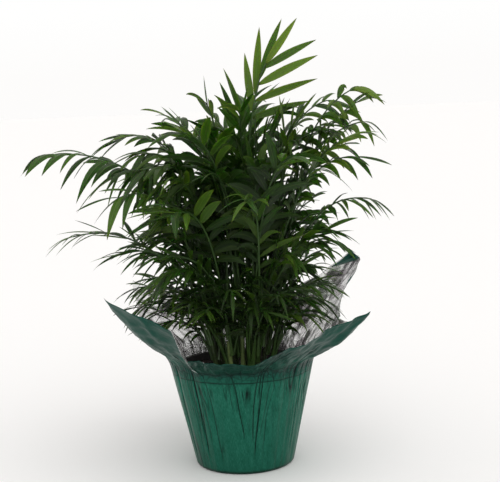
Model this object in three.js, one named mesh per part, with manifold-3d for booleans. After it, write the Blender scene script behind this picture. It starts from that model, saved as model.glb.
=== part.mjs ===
// A potted palm: a clump of young palm stems with feather fronds in a plain nursery pot, the pot
// standing in a cup pressed from a square of foil whose free edge flares out round the rim.
// Millimetres, +Z up. The origin is on the resting face, in the middle of the pot; the front is -Y.

import * as THREE from 'three';
import { mergeGeometries, mergeVertices } from 'three/addons/utils/BufferGeometryUtils.js';
import Module from 'manifold-3d';

const wasm = await Module();
wasm.setup();

// ---------------------------------------------------------------- sizes: nursery pot
const POT_BASE_RADIUS = 52;
const POT_RIM_RADIUS = 76;
const POT_HEIGHT = 108;
const POT_FOOT_CHAMFER = 2;
const POT_WALL = 1.6;
const POT_FLOOR = 2.2;
const POT_LIP_HEIGHT = 14;
const POT_LIP_STEP = 1.8;       // the lip stands this far out of the wall below it
const DRAIN_RADIUS = 5;
const DRAIN_RING = 36;
const DRAIN_COUNT = 4;
const ROUND_SIDES = 36;

// ---------------------------------------------------------------- sizes: foil wrap
const FOIL = 0.4;               // sheet and its crumples, as one wall
const WRAP_SLACK = 2.2;         // pot to foil, round the wall
const WRAP_FLOOR_GAP = 0.5;     // foil to pot, at the bottom
const WRAP_RIM_RISE = 2.7;      // the skirt starts this far above the pot's rim
const WRAP_FOOT_ROUND = 4;      // rounded edge between the bottom and the wall
const SHEET_HALF_SIDE = 220;    // half the side of the square, drawn in a little by its pleats
const SKIRT_BEND = 26;          // length over which the wall turns into the skirt

// bearings are degrees from the front, towards +X; flare is the skirt's slope above level
const CORNER_BEARINGS = [50, 125, 220, 310];
const CORNER_FLARES = [37, 51, 27, 44];
const EDGE_FLARES = [51, 50, 40, 27];   // middle of the side that follows each corner
const COLUMNS_PER_SIDE = 10;

// ---------------------------------------------------------------- sizes: soil
const SOIL_DROP = 8;            // soil surface at the wall, below the pot's rim
const SOIL_CROWN = 2;           // the surface rises this much to the middle
const SOIL_GAP = 0.4;

// ---------------------------------------------------------------- sizes: canes
const CANE_FOOT_RADIUS = 2.7;
const CANE_TOP_RADIUS = 2.2;
const CANE_SUNK = 30;
const CANE_GAP = 0.3;
const CLUMP_RADIUS = 32;
const GOLDEN_ANGLE = 137.5;
const LEAN_PER_MM = 0.34;       // degrees of outward lean for each mm from the middle
const CANE_SIDES = 8;

// ---------------------------------------------------------------- sizes: fronds
const STALK_FOOT_RADIUS = 1.35;
const STALK_TIP_RADIUS = 0.75;
const STALK_STEPS = 6;
const STALK_SIDES = 4;
const FROND_GAP = 0.35;
const CROWN_START = 2;          // a cane's own top frond starts this far past its end
const BRANCH_HEIGHTS = [1, 0.62, 0.3];   // top, middle and low frond, as a share of the cane
const BRANCH_TURNS = [0, 80, -80];       // the side of the cane that each leaves from
const BRANCH_SPREAD = 14;
const LEAFLET_HALF_WIDTH = 4.6; // on a leaflet of the reference length
const LEAFLET_REFERENCE = 75;
const LEAFLET_THICKNESS = 1;
const LEAFLET_FOOT_SHARE = 0.12;  // of its width and thickness, so that its foot lies in the stalk
const LEAFLET_WIDEST = 0.42;
const LEAFLET_CLEARANCE = 0.35;
const SPREAD_FOOT = 60;         // leaflet to stalk, in degrees, at the foot and tip of the blade
const SPREAD_TIP = 26;
const LEAFLET_LIFT = 0.12;

// space kept open above the soil, for water: a ring between the stems and the pot's rim
const WATER_INNER_RADIUS = 38;
const WATER_HEIGHT = 30;

// Each cane: its length above the soil, then its top, middle and low frond. A frond is
// [tip x, tip y, tip height above the soil, lead, crown height, bare share, leaflet pairs,
//  leaflet length, roll in degrees, sag]
// lead is how far towards the tip its highest control point lies; bare is the share of the stalk
// with no leaflets; sag is how far a leaflet's end hangs, as a share of its length.
const CANES = [
  { length: 60, fronds: [
    [38, -16, 334, 0.06, 290, 0.78, 4, 78, 66, 0.12],
    [12, 18, 285, 0.10, 230, 0.52, 6, 70, 0, 0.4],
    [44, 14, 190, 0.20, 165, 0.45, 6, 56, 0, 0.6],
  ] },
  { length: 44, fronds: [
    [-72, 85, 275, 0.15, 262, 0.50, 7, 66, 0, 0.6],
    [-84, 62, 178, 0.20, 180, 0.42, 7, 56, 0, 0.7],
    [-40, 34, 150, 0.20, 140, 0.40, 6, 50, 0, 0.7],
  ] },
  { length: 70, fronds: [
    [-50, -85, 268, 0.15, 262, 0.50, 6, 70, 0, 0.6],
    [-45, -12, 262, 0.10, 225, 0.50, 6, 68, 0, 0.5],
    [-6, -86, 104, 0.25, 110, 0.35, 7, 44, 0, 0.8],
  ] },
  { length: 52, fronds: [
    [74, 40, 272, 0.20, 250, 0.50, 7, 60, 0, 0.9],
    [75, 115, 235, 0.22, 235, 0.45, 8, 62, 0, 0.7],
    [62, 88, 110, 0.25, 116, 0.35, 7, 46, 0, 0.8],
  ] },
  { length: 84, fronds: [
    [-190, -35, 248, 0.28, 254, 0.40, 9, 62, 10, 1.2],
    [-98, -30, 150, 0.25, 165, 0.42, 7, 50, 0, 0.8],
    [-94, -10, 98, 0.25, 104, 0.35, 7, 44, 0, 0.8],
  ] },
  { length: 48, fronds: [
    [126, -30, 256, 0.40, 240, 0.42, 9, 58, 0, 0.8],
    [62, -22, 268, 0.20, 220, 0.50, 6, 68, 0, 0.4],
    [82, -55, 102, 0.25, 108, 0.35, 7, 46, 0, 0.8],
  ] },
  { length: 62, fronds: [
    [-29, 25, 295, 0.06, 268, 0.57, 5, 56, -12, 0.5],
    [-30, 135, 225, 0.22, 235, 0.45, 8, 62, 0, 0.7],
    [-30, 88, 112, 0.25, 118, 0.35, 7, 46, 0, 0.8],
  ] },
  { length: 40, fronds: [
    [-62, -115, 188, 0.20, 205, 0.45, 7, 66, 0, 0.8],
    [-78, -85, 142, 0.20, 150, 0.42, 7, 52, 0, 0.8],
    [-52, -74, 90, 0.25, 96, 0.35, 7, 44, 0, 0.8],
  ] },
  { length: 56, fronds: [
    [138, 5, 291, 0.35, 262, 0.55, 6, 50, 20, 1.0],
    [96, 80, 212, 0.25, 215, 0.45, 8, 54, 0, 0.8],
    [86, 35, 108, 0.25, 114, 0.35, 7, 44, 0, 0.8],
  ] },
  { length: 66, fronds: [
    [-128, 12, 258, 0.05, 292, 0.48, 8, 50, -5, 0.6],
    [-112, 68, 214, 0.22, 228, 0.45, 8, 56, 0, 0.8],
    [-72, 65, 108, 0.25, 112, 0.35, 7, 46, 0, 0.8],
  ] },
  { length: 38, fronds: [
    [58, -95, 240, 0.20, 230, 0.45, 7, 70, 0, 0.6],
    [12, -120, 200, 0.20, 215, 0.45, 7, 64, 0, 0.7],
    [42, -84, 98, 0.25, 104, 0.35, 7, 44, 0, 0.8],
  ] },
  { length: 50, fronds: [
    [22, 110, 288, 0.15, 270, 0.50, 7, 68, 0, 0.5],
    [50, 105, 172, 0.20, 180, 0.42, 7, 56, 0, 0.7],
    [30, 98, 104, 0.25, 110, 0.35, 7, 46, 0, 0.8],
  ] },
  { length: 58, fronds: [
    [-116, -80, 205, 0.25, 225, 0.45, 7, 62, 0, 1.3],
    [-176, -15, 158, 0.29, 183, 0.42, 8, 46, 0, 0.6],
    [-84, -35, 92, 0.25, 98, 0.35, 7, 44, 0, 0.8],
  ] },
  { length: 46, fronds: [
    [146, -10, 186, 0.25, 204, 0.42, 9, 42, 0, 1.3],
    [96, -62, 150, 0.25, 160, 0.42, 7, 48, 0, 0.8],
    [90, -18, 98, 0.25, 106, 0.35, 7, 44, 0, 0.8],
  ] },
];

const POT_BOTTOM = FOIL + WRAP_FLOOR_GAP;
const POT_TOP = POT_BOTTOM + POT_HEIGHT;
const WRAP_BASE_RADIUS = POT_BASE_RADIUS + WRAP_SLACK + FOIL;
const WRAP_RIM_RADIUS = POT_RIM_RADIUS + WRAP_SLACK + FOIL;
const WRAP_RIM_HEIGHT = POT_TOP + WRAP_RIM_RISE;
const SOIL_TOP = POT_TOP - SOIL_DROP;

// ---------------------------------------------------------------- helpers
const radians = THREE.MathUtils.degToRad;
const mix = THREE.MathUtils.lerp;

// A closed body from rings of points, each ring running the same way; a ring of one point is a tip.
function loft(rings) {
  const points = [];
  const starts = [];
  for (const ring of rings) {
    starts.push(points.length / 3);
    for (const p of ring) points.push(p.x, p.y, p.z);
  }
  const faces = [];
  for (let k = 0; k + 1 < rings.length; k += 1) {
    const low = rings[k].length;
    const high = rings[k + 1].length;
    const sides = Math.max(low, high);
    for (let i = 0; i < sides; i += 1) {
      const j = (i + 1) % sides;
      const a = starts[k] + (i % low);
      const b = starts[k] + (j % low);
      const c = starts[k + 1] + (j % high);
      const d = starts[k + 1] + (i % high);
      if (a !== b) faces.push(a, b, c);
      if (c !== d) faces.push(a, c, d);
    }
  }
  const last = rings.length - 1;
  for (let i = 1; i + 1 < rings[0].length; i += 1) {
    faces.push(starts[0], starts[0] + i + 1, starts[0] + i);
  }
  for (let i = 1; i + 1 < rings[last].length; i += 1) {
    faces.push(starts[last], starts[last] + i, starts[last] + i + 1);
  }
  const geometry = new THREE.BufferGeometry();
  geometry.setAttribute('position', new THREE.Float32BufferAttribute(points, 3));
  geometry.setIndex(faces);
  return geometry;
}

function solid(geometry) {
  const bare = geometry.clone();
  bare.deleteAttribute('normal');
  bare.deleteAttribute('uv');
  const merged = mergeVertices(bare, 1e-4);
  return new wasm.Manifold(new wasm.Mesh({
    numProp: 3,
    vertProperties: new Float32Array(merged.attributes.position.array),
    triVerts: new Uint32Array(merged.index.array),
  }));
}

function geometryOf(body) {
  const mesh = body.getMesh();
  const geometry = new THREE.BufferGeometry();
  geometry.setAttribute('position', new THREE.BufferAttribute(mesh.vertProperties, 3));
  geometry.setIndex(new THREE.BufferAttribute(mesh.triVerts, 1));
  return geometry;
}

// ---------------------------------------------------------------- foil wrap
// Value at a bearing, from values at the corners and at the middles of the sides after them.
function atBearing(side, share, corners, edges) {
  const next = (side + 1) % corners.length;
  const half = share < 0.5;
  const from = half ? corners[side] : edges[side];
  const to = half ? edges[side] : corners[next];
  const part = half ? share * 2 : share * 2 - 1;
  return mix(from, to, (1 - Math.cos(Math.PI * part)) / 2);
}

function wrapColumn(side, share) {
  const next = (side + 1) % CORNER_BEARINGS.length;
  const span = (CORNER_BEARINGS[next] - CORNER_BEARINGS[side] + 360) % 360;
  const bearing = radians(CORNER_BEARINGS[side] + span * share);
  const flare = radians(atBearing(side, share, CORNER_FLARES, EDGE_FLARES));
  const sheetReach = SHEET_HALF_SIDE / Math.cos(radians(90 * (share - 0.5)));
  const wallRise = WRAP_RIM_HEIGHT - WRAP_FOOT_ROUND;
  const wallRun = WRAP_RIM_RADIUS - WRAP_BASE_RADIUS;
  const wallSlope = Math.atan2(wallRise, wallRun);
  const used = WRAP_BASE_RADIUS + Math.hypot(wallRise, wallRun);
  const skirt = sheetReach - used;
  const foot = WRAP_BASE_RADIUS - WRAP_FOOT_ROUND;
  const meridian = [
    { r: foot, z: 0, slope: wallSlope * 0.25 },
    { r: WRAP_BASE_RADIUS, z: WRAP_FOOT_ROUND, slope: wallSlope * 0.85 },
    { r: (WRAP_BASE_RADIUS + WRAP_RIM_RADIUS) / 2, z: WRAP_FOOT_ROUND + wallRise / 2, slope: wallSlope },
    { r: WRAP_RIM_RADIUS, z: WRAP_RIM_HEIGHT, slope: wallSlope },
  ];
  let r = WRAP_RIM_RADIUS;
  let z = WRAP_RIM_HEIGHT;
  const stops = [SKIRT_BEND / 2, SKIRT_BEND, mix(SKIRT_BEND, skirt, 0.5), skirt];
  let along = 0;
  for (const stop of stops) {
    const middle = (along + stop) / 2;
    const slope = mix(wallSlope, flare, Math.min(1, middle / SKIRT_BEND));
    r += (stop - along) * Math.cos(slope);
    z += (stop - along) * Math.sin(slope);
    along = stop;
    meridian.push({ r, z, slope: mix(wallSlope, flare, Math.min(1, along / SKIRT_BEND)) });
  }
  const place = (radius, height) => new THREE.Vector3(
    radius * Math.sin(bearing), -radius * Math.cos(bearing), height);
  return {
    outer: meridian.map((m) => place(m.r, m.z)),
    inner: meridian.map((m) => place(m.r - FOIL * Math.sin(m.slope), m.z + FOIL * Math.cos(m.slope))),
  };
}

function wrapGeometry() {
  const columns = [];
  for (let side = 0; side < CORNER_BEARINGS.length; side += 1) {
    for (let k = 0; k < COLUMNS_PER_SIDE; k += 1) {
      columns.push(wrapColumn(side, k / COLUMNS_PER_SIDE));
    }
  }
  const levels = columns[0].outer.length;
  const rings = [[new THREE.Vector3(0, 0, 0)]];
  for (let k = 0; k < levels; k += 1) rings.push(columns.map((c) => c.outer[k]));
  for (let k = levels - 1; k > 0; k -= 1) rings.push(columns.map((c) => c.inner[k]));
  const floorRadius = WRAP_BASE_RADIUS - WRAP_FOOT_ROUND;
  rings.push(columns.map((c) => c.inner[0].clone().setZ(FOIL).setLength(Math.hypot(floorRadius, FOIL))));
  rings.push([new THREE.Vector3(0, 0, FOIL)]);
  return loft(rings);
}

// ---------------------------------------------------------------- nursery pot
function potOuterRadius(height) {
  return mix(POT_BASE_RADIUS, POT_RIM_RADIUS - POT_LIP_STEP, height / POT_HEIGHT);
}

function potGeometry() {
  const lipFoot = POT_HEIGHT - POT_LIP_HEIGHT;
  const profile = [
    [0, 0],
    [POT_BASE_RADIUS - POT_FOOT_CHAMFER, 0],
    [potOuterRadius(POT_FOOT_CHAMFER), POT_FOOT_CHAMFER],
    [potOuterRadius(lipFoot), lipFoot],
    [potOuterRadius(lipFoot) + POT_LIP_STEP, lipFoot],
    [POT_RIM_RADIUS, POT_HEIGHT],
    [potOuterRadius(POT_HEIGHT) - POT_WALL, POT_HEIGHT],
    [potOuterRadius(POT_FLOOR) - POT_WALL, POT_FLOOR],
    [0, POT_FLOOR],
  ].map(([r, z]) => new THREE.Vector2(r, POT_BOTTOM + z));
  let body = solid(new THREE.LatheGeometry(profile, ROUND_SIDES).rotateX(Math.PI / 2));
  for (let k = 0; k < DRAIN_COUNT; k += 1) {
    const turn = (k + 0.5) * 2 * Math.PI / DRAIN_COUNT;
    const drill = new THREE.CylinderGeometry(DRAIN_RADIUS, DRAIN_RADIUS, 4 * POT_FLOOR, 12)
      .rotateX(Math.PI / 2)
      .translate(DRAIN_RING * Math.cos(turn), DRAIN_RING * Math.sin(turn), POT_BOTTOM + POT_FLOOR / 2);
    body = body.subtract(solid(drill));
  }
  return geometryOf(body);
}

// ---------------------------------------------------------------- canes
function caneAxis(index) {
  const r = CLUMP_RADIUS * Math.sqrt((index + 0.5) / CANES.length);
  const turn = radians(GOLDEN_ANGLE * index);
  const lean = radians(LEAN_PER_MM * r);
  return {
    foot: new THREE.Vector3(r * Math.cos(turn), r * Math.sin(turn), SOIL_TOP),
    direction: new THREE.Vector3(
      Math.sin(lean) * Math.cos(turn), Math.sin(lean) * Math.sin(turn), Math.cos(lean)),
  };
}

function caneGeometry(index, gap = 0) {
  const { foot, direction } = caneAxis(index);
  const length = CANE_SUNK + CANES[index].length;
  const middle = foot.clone().addScaledVector(direction, length / 2 - CANE_SUNK);
  const upright = new THREE.Vector3(0, 1, 0);
  return new THREE.CylinderGeometry(
    CANE_TOP_RADIUS + gap, CANE_FOOT_RADIUS + gap, length + 2 * gap, CANE_SIDES)
    .applyQuaternion(new THREE.Quaternion().setFromUnitVectors(upright, direction))
    .translate(middle.x, middle.y, middle.z);
}

// ---------------------------------------------------------------- soil
function soilGeometry() {
  const bottom = POT_BOTTOM + POT_FLOOR + SOIL_GAP;
  const radiusAt = (z) => potOuterRadius(z - POT_BOTTOM) - POT_WALL - SOIL_GAP;
  const profile = [
    [0, bottom],
    [radiusAt(bottom), bottom],
    [radiusAt(SOIL_TOP), SOIL_TOP],
    [CLUMP_RADIUS, SOIL_TOP + SOIL_CROWN],
    [0, SOIL_TOP + SOIL_CROWN],
  ].map(([r, z]) => new THREE.Vector2(r, z));
  let body = solid(new THREE.LatheGeometry(profile, ROUND_SIDES).rotateX(Math.PI / 2));
  CANES.forEach((_, index) => {
    body = body.subtract(solid(caneGeometry(index, CANE_GAP)));
  });
  return geometryOf(body);
}

// ---------------------------------------------------------------- fronds
function frondCurve(index, rank) {
  const { foot, direction } = caneAxis(index);
  const [tipX, tipY, tipHeight, lead, crown] = CANES[index].fronds[rank];
  const tip = new THREE.Vector3(tipX, tipY, SOIL_TOP + tipHeight);
  const node = foot.clone().addScaledVector(direction, CANES[index].length * BRANCH_HEIGHTS[rank]);
  const heading = tip.clone().sub(node).setZ(0).normalize();
  const away = heading.clone().applyAxisAngle(new THREE.Vector3(0, 0, 1), radians(BRANCH_TURNS[rank]));
  const start = node.clone();
  if (rank === 0) {
    start.addScaledVector(direction, CROWN_START);
  } else {
    start.addScaledVector(away, CANE_FOOT_RADIUS + STALK_FOOT_RADIUS + FROND_GAP);
  }
  const control = start.clone().lerp(tip, lead).setZ(SOIL_TOP + crown);
  if (rank > 0) control.addScaledVector(away, BRANCH_SPREAD);
  return { curve: new THREE.QuadraticBezierCurve3(start, control, tip), heading };
}

// A point on the straight steps that the stalk is made of.
function onStalk(curve, share) {
  const step = Math.min(STALK_STEPS - 1, Math.floor(share * STALK_STEPS));
  const from = curve.getPointAt(step / STALK_STEPS);
  return from.lerp(curve.getPointAt((step + 1) / STALK_STEPS), share * STALK_STEPS - step);
}

function stalkGeometry(curve, side) {
  const rings = [];
  for (let k = 0; k <= STALK_STEPS; k += 1) {
    const share = k / STALK_STEPS;
    const middle = curve.getPointAt(share);
    const up = side.clone().cross(curve.getTangentAt(share)).normalize();
    const radius = mix(STALK_FOOT_RADIUS, STALK_TIP_RADIUS, share);
    const ring = [];
    for (let i = 0; i < STALK_SIDES; i += 1) {
      const turn = (i + 0.5) * 2 * Math.PI / STALK_SIDES;
      ring.push(middle.clone()
        .addScaledVector(side, -radius * Math.cos(turn))
        .addScaledVector(up, radius * Math.sin(turn)));
    }
    rings.push(ring);
  }
  return loft(rings);
}

// One leaflet: a blade of triangular section, flat above with a keel below, ending in a point.
function leafletGeometry(root, out, normal, length, sag, gap = 0) {
  const at = (u) => root.clone()
    .addScaledVector(out, length * u)
    .add(new THREE.Vector3(0, 0, -0.5 * sag * length * u * u));
  const halfWidth = LEAFLET_HALF_WIDTH * Math.sqrt(length / LEAFLET_REFERENCE);
  const rings = [[0, LEAFLET_FOOT_SHARE], [LEAFLET_WIDEST, 1]].map(([u, share]) => {
    const along = at(u + 0.05).sub(at(u)).normalize();
    const across = normal.clone().cross(along).normalize();
    const up = along.clone().cross(across);
    const middle = at(u);
    return [
      middle.clone().addScaledVector(across, halfWidth * share + gap).addScaledVector(up, gap),
      middle.clone().addScaledVector(across, -halfWidth * share - gap).addScaledVector(up, gap),
      middle.clone().addScaledVector(up, -LEAFLET_THICKNESS * share - gap),
    ];
  });
  rings.push([at(1 + gap / length)]);
  return loft(rings);
}

function leafletPlaces(index, rank) {
  const { curve, heading } = frondCurve(index, rank);
  const [, , , , , bare, pairs, leaf, roll, sag] = CANES[index].fronds[rank];
  const side = new THREE.Vector3(heading.y, -heading.x, 0);
  const places = [];
  for (let k = 0; k < pairs; k += 1) {
    for (const hand of [-1, 1]) {
      const blade = Math.min(1, (k + (hand > 0 ? 0.35 : 0)) / (pairs - 0.65));
      const share = mix(bare, 1, blade);
      const tangent = curve.getTangentAt(share);
      const across = side.clone().applyAxisAngle(tangent, radians(-roll));
      const normal = across.clone().cross(tangent).normalize();
      const spread = radians(mix(SPREAD_FOOT, SPREAD_TIP, blade));
      const out = tangent.clone().multiplyScalar(Math.cos(spread))
        .addScaledVector(across, hand * Math.sin(spread))
        .addScaledVector(normal, LEAFLET_LIFT)
        .normalize();
      const length = leaf * (0.72 + 0.28 * Math.sin(Math.PI * (0.15 + 0.75 * blade)));
      places.push({ root: onStalk(curve, share), out, normal, length, sag });
    }
  }
  return places;
}

// Ways a leaflet may lie so that it clears what is already there: sag added, share of its length.
const LEAFLET_WAYS = [[0, 1], [0.5, 1], [-0.5, 1], [0.25, 0.8], [-0.25, 0.8], [0.4, 0.6], [-0.4, 0.6]];

function boxesMeet(a, b) {
  return [0, 1, 2].every((k) => a.min[k] <= b.max[k] && b.min[k] <= a.max[k]);
}

function meets(probe, obstacles) {
  const box = probe.boundingBox();
  return obstacles.some((o) => boxesMeet(box, o.box) && probe.intersect(o.body).volume() > 1e-6);
}

function obstacle(geometry) {
  const body = solid(geometry);
  return { body, box: body.boundingBox() };
}

function waterSpace() {
  const inner = WATER_INNER_RADIUS;
  const outer = POT_RIM_RADIUS;
  const profile = [
    [inner, SOIL_TOP], [outer, SOIL_TOP], [outer, SOIL_TOP + WATER_HEIGHT],
    [inner, SOIL_TOP + WATER_HEIGHT], [inner, SOIL_TOP],
  ].map(([r, z]) => new THREE.Vector2(r, z));
  return new THREE.LatheGeometry(profile, ROUND_SIDES).rotateX(Math.PI / 2);
}

function frondGeometries() {
  const ranks = [];
  CANES.forEach((cane, index) => cane.fronds.forEach((_, rank) => ranks.push({ index, rank })));
  const fixed = [wrapGeometry(), waterSpace(), ...CANES.map((_, index) => caneGeometry(index))];
  const obstacles = fixed.map(obstacle);
  const fronds = ranks.map(({ index, rank }) => {
    const { curve, heading } = frondCurve(index, rank);
    const stalk = obstacle(stalkGeometry(curve, new THREE.Vector3(heading.y, -heading.x, 0)));
    return { index, rank, stalk, parts: [stalk] };
  });
  for (const frond of fronds) {
    const others = obstacles.concat(fronds.filter((f) => f !== frond).flatMap((f) => f.parts));
    for (const place of leafletPlaces(frond.index, frond.rank)) {
      for (const [droop, share] of LEAFLET_WAYS) {
        const make = (gap) => leafletGeometry(
          place.root, place.out, place.normal, place.length * share, place.sag + droop, gap);
        if (!meets(solid(make(LEAFLET_CLEARANCE)), others)) {
          frond.parts.push(obstacle(make(0)));
          break;
        }
      }
    }
  }
  return fronds.map(({ parts }) => geometryOf(
    parts.slice(1).reduce((body, part) => body.add(part.body), parts[0].body)));
}

// ---------------------------------------------------------------- finishes
const finish = (colour, roughness, metalness) => new THREE.MeshStandardMaterial({
  color: colour, roughness, metalness, side: THREE.FrontSide });
const FINISHES = {
  foil: finish(0x1e6950, 0.35, 0.7),
  pot: finish(0x2c2a28, 0.6, 0),
  soil: finish(0x2b211a, 1, 0),
  cane: finish(0x8fa044, 0.6, 0),
  frond: finish(0x35702a, 0.45, 0),
};

// ---------------------------------------------------------------- the object
const pottedPalm = new THREE.Group();

function addPiece(name, geometry, material) {
  const mesh = new THREE.Mesh(geometry, material.clone());
  mesh.name = name;
  pottedPalm.add(mesh);
}

const numbered = (stem, index) => `${stem}_${String(index + 1).padStart(2, '0')}`;

addPiece('foil_wrap', wrapGeometry(), FINISHES.foil);
addPiece('nursery_pot', potGeometry(), FINISHES.pot);
addPiece('potting_soil', soilGeometry(), FINISHES.soil);
CANES.forEach((_, index) => addPiece(numbered('cane', index), caneGeometry(index), FINISHES.cane));
frondGeometries().forEach((geometry, index) => addPiece(numbered('frond', index), geometry, FINISHES.frond));

export default pottedPalm;
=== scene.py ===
import math
import random

import bpy
import numpy as np
from mathutils import Matrix, Vector, noise


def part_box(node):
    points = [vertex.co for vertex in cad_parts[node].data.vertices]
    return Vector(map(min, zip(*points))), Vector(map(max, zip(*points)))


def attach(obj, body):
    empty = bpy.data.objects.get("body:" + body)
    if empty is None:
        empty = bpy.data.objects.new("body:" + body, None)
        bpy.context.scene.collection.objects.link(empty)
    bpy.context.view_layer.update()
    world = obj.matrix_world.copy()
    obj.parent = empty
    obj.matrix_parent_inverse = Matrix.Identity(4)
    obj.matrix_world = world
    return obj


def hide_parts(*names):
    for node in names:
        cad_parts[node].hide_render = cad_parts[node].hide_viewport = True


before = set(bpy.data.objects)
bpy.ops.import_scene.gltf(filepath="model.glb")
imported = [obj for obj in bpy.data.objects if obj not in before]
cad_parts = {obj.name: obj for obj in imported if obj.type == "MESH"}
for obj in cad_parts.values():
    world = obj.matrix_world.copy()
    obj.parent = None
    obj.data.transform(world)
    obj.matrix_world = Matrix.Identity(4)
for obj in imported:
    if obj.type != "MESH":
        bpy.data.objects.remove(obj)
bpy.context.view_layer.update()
MM = 0.001

# ---------------------------------------------------------------- sizes read from the frame
POT_LOW, POT_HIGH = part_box("nursery_pot")
SOIL_LOW, SOIL_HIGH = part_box("potting_soil")
POT_RIM_RADIUS = (POT_HIGH.x - POT_LOW.x) / 2
SOIL_CROWN = 2 * MM
SOIL_TOP = SOIL_HIGH.z - SOIL_CROWN

# ---------------------------------------------------------------- sizes: foil wrap
FOIL_SLACK = 2.6 * MM            # from the pot's rim to the outside of the foil
FOIL_RIM_RISE = 2.7 * MM         # the skirt starts this far above the pot's rim
FOIL_BASE_RADIUS = 54.6 * MM
FOIL_RIM_RADIUS = POT_RIM_RADIUS + FOIL_SLACK
FOIL_RIM_HEIGHT = POT_HIGH.z + FOIL_RIM_RISE
FOIL_FOOT_ROUND = 4 * MM
FOIL_THICKNESS = 0.25 * MM
# Distances along the sheet from the middle of the floor: to the foot of the wall and to the rim.
WALL_START = FOIL_BASE_RADIUS
RIM_ALONG = FOIL_BASE_RADIUS + math.hypot(FOIL_RIM_HEIGHT, FOIL_RIM_RADIUS - FOIL_BASE_RADIUS)
SHEET_HALF_SIDE = 220 * MM
FOIL_COLUMNS = 560
FLOOR_ROWS = 5
FOOT_ROWS = 5
WALL_ROWS = 32
SKIRT_ROWS = 40
CREASE_COUNT = 110
FACET_SCALE = 55                 # crumpled facets to the metre
FINE_FACET_SCALE = 170
FLUTE_COUNTS = (17, 29, 43, 71)  # waves round the wall and the skirt
FLUTE_DEPTH = 0.35 * MM
CORNER_RIDGE = 6 * MM
CORNER_RIDGE_LENGTH = 70 * MM

# Bearings are degrees from the front, towards +X. A flare is the skirt's slope above level.
CORNER_BEARINGS = [50, 125, 220, 310]
# Each row: bearing, slope of the skirt above level, slope gained on the way to its edge, share of
# its length kept, degrees that its edge swings round towards +X, and length of the bend at the rim.
SKIRT = [
    (-50, 40, 14, 0.94, 0, 22), (-43, 40, 10, 0.95, 4, 18), (-36.5, 41, 6, 0.93, 8, 12),
    (-34, 26, 0, 0.22, 4, 8), (-31.5, 25, 0, 0.92, 11, 8), (-12, 26, 0, 1.0, 0, 9),
    (4, 25, 0, 1.0, 0, 9), (20, 33, 0, 1.0, 0, 10), (36, 33, 6, 0.98, 0, 14),
    (50, 32, 17, 0.82, 0, 18), (64, 33, 15, 0.92, 0, 18), (75, 40, 8, 1.0, 0, 22),
    (87, 50, 4, 1.0, 0, 26), (105, 51, 4, 1.06, 0, 26), (125, 49, 6, 1.10, -6, 26),
    (172, 50, 0, 1.0, 0, 26), (220, 27, 0, 1.0, 0, 26), (265, 40, 0, 1.0, 0, 26),
    (310, 40, 14, 0.94, 0, 22),
]

# The corner at the back right is folded over: length folded, slant and turn of the fold.
FOLDED_CORNER = 30 * MM
FOLD_SLANT = math.radians(-14)
FOLD_TURN = math.radians(-152)
FOLD_ROUND = 4 * MM
FOLD_REACH = 30                  # degrees to each side of the corner

# Where the foil's painted shade lies, as distances along the sheet.
FOOT_LINE_REACH = 3 * MM
SHORT_FOLD_REACH = 55 * MM
BAND_MIDDLE = RIM_ALONG + 4 * MM
BAND_REACH = 15 * MM
RIM_LINE = RIM_ALONG - 7 * MM
RIM_LINE_REACH = 1.3 * MM
SKIRT_SHADE_LENGTH = 40 * MM

# ---------------------------------------------------------------- sizes: soil
SOIL_SIDES = 96
SOIL_RINGS = 22
SOIL_BOTTOM_RADIUS = 49 * MM
SOIL_LUMP = 1.2 * MM
CRUMBS_PER_SQUARE_METRE = 75000.0
SMALLEST_CRUMB = 0.5 * MM
LARGEST_CRUMB = 2.2 * MM

# ---------------------------------------------------------------- sizes: canes and fronds, in mm
CANE_FOOT_RADIUS = 2.7
CANE_TOP_RADIUS = 2.2
CANE_SUNK = 30
CLUMP_RADIUS = 32
GOLDEN_ANGLE = 137.5
LEAN_PER_MM = 0.34
CROWN_START = 2
STALK_FOOT_RADIUS = 1.35
STALK_TIP_RADIUS = 0.7
FROND_GAP = 0.35
BRANCH_HEIGHTS = [1, 0.62, 0.3]
BRANCH_TURNS = [0, 80, -80]
BRANCH_SPREAD = 14
LEAFLET_HALF_WIDTHS = [4.6, 3.3, 2.8]
CROWDING = 1.35
DROOP = 1.3
LEAFLET_REFERENCE = 75
LEAFLET_THICKNESS = 0.22
# Leaflets' angles from the stalk, at its first and last leaflets: top, middle and low fronds.
SPREADS = [(56, 22), (42, 16), (58, 26)]
INNER_SPREADS = (34, 14)
INNER_NARROWER = 0.8
LEAFLET_LIFT = 0.12
LEAFLET_FOLD = 0.28
STALK_POINTS = 28
STALK_SIDES = 7
CANE_SIDES = 16
CANE_STEPS = 60
RING_SPACING = 16
RING_SWELL = 0.16
YOUNG_CANES = (7, 2)
# Filler fronds repeat the table's: turned and rolled by up to these degrees, and drawn in and
# lowered by shares in these ranges. The low ones are lowered by less.
FILLER_TURN = 55
FILLER_ROLL = 70
FILLER_SIZES = (0.5, 0.85)
FILLER_HEIGHTS = (0.6, 0.9)
LOW_FILLER_RISE = 0.25

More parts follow.
